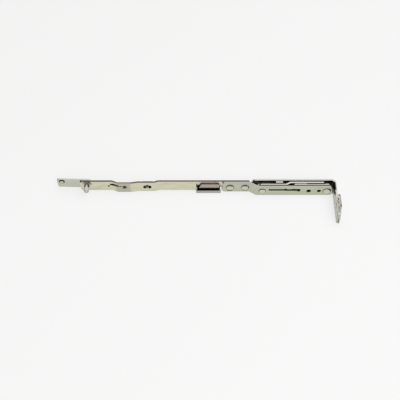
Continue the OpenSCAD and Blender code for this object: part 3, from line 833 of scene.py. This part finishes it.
@dataclass
class SetRivet:
    """One kind of rivet on one body, repeated by the rivet tree, with its place from its solids."""

    name: str
    body: str
    nodes: tuple[str, ...]
    facing: Facing
    size: RivetSize
    slot: Slot = Slot.RIVET
    finish: Finish = BRIGHT_RIVET

    def places(self) -> list[Vector]:
        """Find where the planes under the front heads are.

        Returns:
            One point for each rivet.
        """
        base, rim = self.size.front.height * MM, self.size.front.radius * MM
        found = []
        for node in self.nodes:
            low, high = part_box(node)
            middle = (low + high) / 2
            if self.facing is Facing.FRONT:
                found.append(Vector((middle.x, low.y + base, middle.z)))
            elif self.facing is Facing.REAR:
                found.append(Vector((middle.x, high.y - base, middle.z)))
            else:
                found += [Vector((low.x + base, y, middle.z)) for y in (low.y + rim, high.y - rim)]
        return found

    def build(self) -> bpy.types.Object:
        """Make the rivets.

        Returns:
            The finished object.
        """
        places = self.places()
        pitch = places[-1] - places[0] if len(places) > 1 else Vector()
        values: dict[str, object] = {
            **self.size.inputs(), "Count": len(places), "Start": places[0][:], "Pitch": pitch[:],
            "Turn": self.facing.value, "Finish": Palette.of(self.finish)}
        piece = bpy.data.objects.new(self.name, bpy.data.meshes.new(self.name))
        bpy.context.scene.collection.objects.link(piece)
        modifier = piece.modifiers.new("set_rivet", "NODES")
        modifier.node_group = RivetTree.tree()
        for item in RivetTree.tree().interface.items_tree:
            if item.in_out == "INPUT":
                modifier[item.identifier] = values[item.name]
        bake(piece)
        hand_over(piece, self.body, self.nodes)
        return piece


@dataclass(frozen=True)
class Panel:
    """Soft square lamp that looks at the stay."""

    name: str
    place: Triple
    size: float
    power: float
    colour: Colour


@dataclass
class Studio:
    """Pale table, soft lamps, quiet room and the camera."""

    FRONT_ROOM: ClassVar[tuple[tuple[float, Colour], ...]] = (
        (0.0, (0.45, 0.44, 0.41)), (0.2, (0.75, 0.74, 0.70)), (0.55, (0.70, 0.69, 0.65)),
        (0.68, (0.04, 0.036, 0.032)), (0.96, (0.04, 0.036, 0.032)), (1.0, (0.3, 0.29, 0.27)))
    REAR_ROOM: ClassVar[tuple[tuple[float, Colour], ...]] = (
        (0.2, (0.03, 0.03, 0.026)), (0.5, (0.25, 0.23, 0.21)), (0.7, (0.80, 0.78, 0.74)),
        (0.93, (0.70, 0.68, 0.65)), (1.0, (0.3, 0.29, 0.27)))
    PANELS: ClassVar[tuple[Panel, ...]] = (
        Panel("panel_front", (0.30, -0.95, 1.25), 1.0, 12.3, (0.99, 1.0, 1.0)),
        Panel("panel_overhead", (0.75, 0.05, 1.5), 1.2, 10.5, (1.0, 0.99, 0.97)))
    elevation_deg: float = 57.3
    distance: float = 760 * MM
    pixels_per_mm: float = 0.93
    image_px: int = 400
    sensor_mm: float = 36.0
    near_clip: float = 10 * MM
    target: Vector = field(default_factory=lambda: Vector((3.225 * MM, 5.45 * MM, 0.0)))
    table_half: float = 2.5
    table_drop: float = 0.1 * MM
    table_colour: Colour = (0.20, 0.20, 0.203)
    table_roughness: float = 0.7
    table_gloss: float = 0.2
    table_glow: float = 0.745
    first_bounce: float = 1.5
    backdrop: Colour = (0.88, 0.88, 0.885)
    rear_from: Range = (-0.05, 0.2)
    side_from: Range = (0.45, 0.75)
    side_light: Range = (1.0, 0.12)

    def camera(self) -> None:
        """Set the camera at the photograph's angle."""
        lens = bpy.data.cameras.new("camera")
        lens.sensor_width = self.sensor_mm
        lens.lens = lens.sensor_width * self.pixels_per_mm * (self.distance / MM) / self.image_px
        lens.clip_start = self.near_clip
        holder = bpy.data.objects.new("camera", lens)
        bpy.context.scene.collection.objects.link(holder)
        lift = math.radians(self.elevation_deg)
        holder.location = self.target + self.distance * Vector((0.0, -math.cos(lift), math.sin(lift)))
        holder.rotation_euler = (math.pi / 2 - lift, 0.0, 0.0)
        bpy.context.scene.camera = holder

    def table(self) -> None:
        """Lay the pale table."""
        half = self.table_half
        corners = [(-half, -half, 0), (half, -half, 0), (half, half, 0), (-half, half, 0)]
        mesh = bpy.data.meshes.new("table")
        mesh.from_pydata(corners, [], [(0, 1, 2, 3)])
        mesh.transform(Matrix.Translation((0.0, 0.0, -self.table_drop)))
        mesh.materials.append(self.table_finish())
        top = bpy.data.objects.new("table", mesh)
        bpy.context.scene.collection.objects.link(top)

    def table_finish(self) -> bpy.types.Material:
        """Build the table's finish, near white for the camera and in first reflections.

        Returns:
            A new material.
        """
        made, graph, shader = new_material("pale_table")
        shader.inputs["Base Color"].default_value = (*self.table_colour, 1.0)
        shader.inputs["Roughness"].default_value = self.table_roughness
        shader.inputs["Specular IOR Level"].default_value = self.table_gloss
        shader.inputs["Emission Color"].default_value = (1.0, 1.0, 1.0, 1.0)
        path = graph.add("ShaderNodeLightPath").outputs
        first = graph.math("LESS_THAN", path["Ray Depth"], self.first_bounce)
        mirrored = graph.math("MAXIMUM", path["Is Glossy Ray"], path["Is Transmission Ray"])
        seen = graph.math("MAXIMUM", path["Is Camera Ray"], graph.math("MULTIPLY", mirrored, first))
        glow = graph.math("MULTIPLY", seen, self.table_glow)
        made.node_tree.links.new(glow, shader.inputs["Emission Strength"])
        return made

    def room(self) -> None:
        """Surround the table with a dim warm room; the camera itself sees a pale backdrop."""
        world = bpy.data.worlds.new("room")
        bpy.context.scene.world = world
        world.use_nodes = True
        ground = world.node_tree.nodes["Background"]
        graph = Graph(world.node_tree)
        place = graph.add("ShaderNodeTexCoord")
        aim = graph.add("ShaderNodeSeparateXYZ", {0: place.outputs["Generated"]}).outputs
        front = graph.ramp(aim["Z"], self.FRONT_ROOM)
        rear = graph.ramp(aim["Z"], self.REAR_ROOM)
        colour = graph.mix(graph.span(aim["Y"], self.rear_from, (0.0, 1.0)), front, rear)
        aside = graph.span(graph.math("ABSOLUTE", aim["X"]), self.side_from, self.side_light)
        colour = graph.mix(1.0, colour, aside, "MULTIPLY")
        seen = graph.add("ShaderNodeLightPath").outputs["Is Camera Ray"]
        colour = graph.mix(seen, colour, self.backdrop)
        world.node_tree.links.new(colour, ground.inputs["Color"])
        ground.inputs["Strength"].default_value = 1.0

    def hang(self, panel: Panel) -> None:
        """Hang one soft panel, which doesn't show in reflections.

        Args:
            panel: Lamp that is hung.
        """
        data = bpy.data.lights.new(panel.name, "AREA")
        data.shape = "SQUARE"
        data.size = panel.size
        data.energy = panel.power
        data.color = panel.colour
        lamp = bpy.data.objects.new(panel.name, data)
        lamp.location = panel.place
        lamp.visible_glossy = False
        lamp.rotation_euler = (self.target - Vector(panel.place)).to_track_quat("-Z", "Y").to_euler()
        bpy.context.scene.collection.objects.link(lamp)

    def build(self) -> None:
        """Set up everything that isn't the stay."""
        bpy.context.scene.view_settings.view_transform = "Standard"
        self.camera()
        self.table()
        self.room()
        for panel in self.PANELS:
            self.hang(panel)


@dataclass
class SubAssembly:
    """Pieces that move together as one body."""

    body: str

    def stamped(self) -> list[StampedPiece]:
        """Return the stamped or turned pieces of the body."""
        return []

    def rivets(self) -> list[SetRivet]:
        """Return the set rivets of the body."""
        return []

    def build(self) -> None:
        """Make every piece of the body."""
        for piece in (*self.stamped(), *self.rivets()):
            piece.build()


@dataclass
class HingeBracket(SubAssembly):
    """Folded back plate with its leg, the screw ear, the distance block and the rear heads."""

    body: str = "hinge_bracket"
    ear_rivet: RivetSize = RivetSize(Head(3.0, 0.4, 4.0), Head(1.6, 0.02, 8.0), shank_radius=1.6, grip=3.28)
    base_pivot: RivetSize = RivetSize(Head(5.5, 2.3), Head(4.0, 1.1, 12.0), shank_radius=2.5, grip=3.6,
                                      spacer=Spacer(3.5, 1.9, 0.7))
    locating_stud: RivetSize = RivetSize(Head(4.5, 2.3), Head(2.0, 0.02, 8.0), shank_radius=2.0, grip=1.88)

    def stamped(self) -> list[StampedPiece]:
        """Return the bracket's strips and its block."""
        return [StampedPiece("bracket_plate", self.body, Slot.STRIP, ZINC_BRACKET),
                StampedPiece("screw_ear", self.body, Slot.STRIP, ZINC_EAR),
                StampedPiece("distance_button", self.body, Slot.RIVET, BRIGHT_BLOCK)]

    def rivets(self) -> list[SetRivet]:
        """Return the bracket's rivets."""
        return [SetRivet("ear_rivet_pair", self.body, ("ear_rivets",), Facing.HINGE_INSIDE, self.ear_rivet),
                SetRivet("base_pivot_head", self.body, ("base_pivot_rivet",), Facing.REAR, self.base_pivot),
                SetRivet("locating_stud_head", self.body, ("rear_locating_stud",), Facing.REAR,
                         self.locating_stud)]


@dataclass
class GuideLink(SubAssembly):
    """Joggled link between bracket and arm, with the arm's pivot."""

    body: str = "guide_link"
    arm_pivot: RivetSize = RivetSize(Head(3.85, 0.8, 7.0), Head(3.45, 1.5, 6.0), shank_radius=2.25,
                                     grip=4.7, spacer=Spacer(3.5, 2.1, 0.7))

    def stamped(self) -> list[StampedPiece]:
        """Return the link's strip."""
        return [StampedPiece("guide_link", self.body, Slot.STRIP, ZINC_LINK)]

    def rivets(self) -> list[SetRivet]:
        """Return the link's rivet."""
        return [SetRivet("arm_pivot_head", self.body, ("arm_pivot_rivet",), Facing.FRONT, self.arm_pivot)]


@dataclass
class StayArm(SubAssembly):
    """Cranked front plate, stepped long bar, catch pocket and spring, riveted into one arm."""

    body: str = "stay_arm"
    joint_rivet: RivetSize = RivetSize(Head(4.5, 2.3, 2.2), Head(3.5, 0.8, 5.0), shank_radius=2.5, grip=3.8)
    lug_pivot: RivetSize = RivetSize(Head(4.6, 0.8, 7.0), Head(2.5, 0.02, 8.0), shank_radius=2.5, grip=4.58,
                                     spacer=Spacer(4.0, 3.5, 1.08))
    catch_edges: EdgeBreak = EdgeBreak(0.12 * MM)
    leaf_edges: EdgeBreak = EdgeBreak(0.08 * MM, 2)
    eyelet_edges: EdgeBreak = EdgeBreak(0.12 * MM, 2)

    def stamped(self) -> list[StampedPiece]:
        """Return the arm's strips and small turned pieces."""
        return [StampedPiece("front_plate", self.body, Slot.STRIP, ZINC_PLATE),
                StampedPiece("long_bar", self.body, Slot.STRIP, ZINC_BAR),
                StampedPiece("catch_pocket", self.body, Slot.CATCH, ZINC_CATCH, self.catch_edges),
                StampedPiece("detent_spring", self.body, Slot.SPRING, SPRING_STEEL, self.leaf_edges),
                StampedPiece("spring_rivet", self.body, Slot.RIVET, DARK_EYELET, self.eyelet_edges)]

    def rivets(self) -> list[SetRivet]:
        """Return the arm's rivets."""
        return [SetRivet("joint_rivet_pair", self.body, ("joint_rivet_left", "joint_rivet_right"),
                         Facing.FRONT, self.joint_rivet),
                SetRivet("lug_pivot_head", self.body, ("lug_rivet",), Facing.FRONT, self.lug_pivot)]


@dataclass
class FrameLug(SubAssembly):
    """Second strip behind the front plate."""

    body: str = "frame_lug"

    def stamped(self) -> list[StampedPiece]:
        """Return the lug's strip."""
        return [StampedPiece("frame_lug", self.body, Slot.STRIP, ZINC_LINK)]


@dataclass
class SlideTongue(SubAssembly):
    """Sliding strip behind the bar's free end, with button, stud and guide pin."""

    body: str = "slide_tongue"
    button: RivetSize = RivetSize(Head(3.3, 0.9, 9.0), Head(1.5, 0.02, 8.0), shank_radius=1.5, grip=1.88)
    pin_edges: EdgeBreak = EdgeBreak(0.12 * MM, 2)

    def stamped(self) -> list[StampedPiece]:
        """Return the tongue's strip and turned pieces."""
        return [StampedPiece("slide_tongue", self.body, Slot.STRIP, ZINC_TONGUE),
                StampedPiece("locking_stud", self.body, Slot.TURNED, DULL_STUD, self.pin_edges),
                StampedPiece("stud_cap", self.body, Slot.TURNED, TURNED_STEEL, self.pin_edges),
                StampedPiece("guide_pin", self.body, Slot.TURNED, WHITE_PIN, self.pin_edges),
                StampedPiece("guide_collar", self.body, Slot.TURNED, TURNED_STEEL, self.pin_edges)]

    def rivets(self) -> list[SetRivet]:
        """Return the tongue's button."""
        return [SetRivet("end_button_head", self.body, ("end_button",), Facing.FRONT, self.button,
                         finish=FLAT_BUTTON)]


@dataclass
class StudRoller(SubAssembly):
    """Roller that turns on the stud."""

    body: str = "stud_roller"
    roller_edges: EdgeBreak = EdgeBreak(0.2 * MM)

    def stamped(self) -> list[StampedPiece]:
        """Return the roller."""
        return [StampedPiece("stud_roller", self.body, Slot.TURNED, TURNED_STEEL, self.roller_edges)]


def main() -> None:
    """Build the studio and dress every piece of the stay."""
    logging.basicConfig(level=logging.INFO, format="%(name)s: %(message)s")
    Studio().build()
    for part in (HingeBracket(), GuideLink(), StayArm(), FrameLug(), SlideTongue(), StudRoller()):
        part.build()


if __name__ == "__main__":
    main()
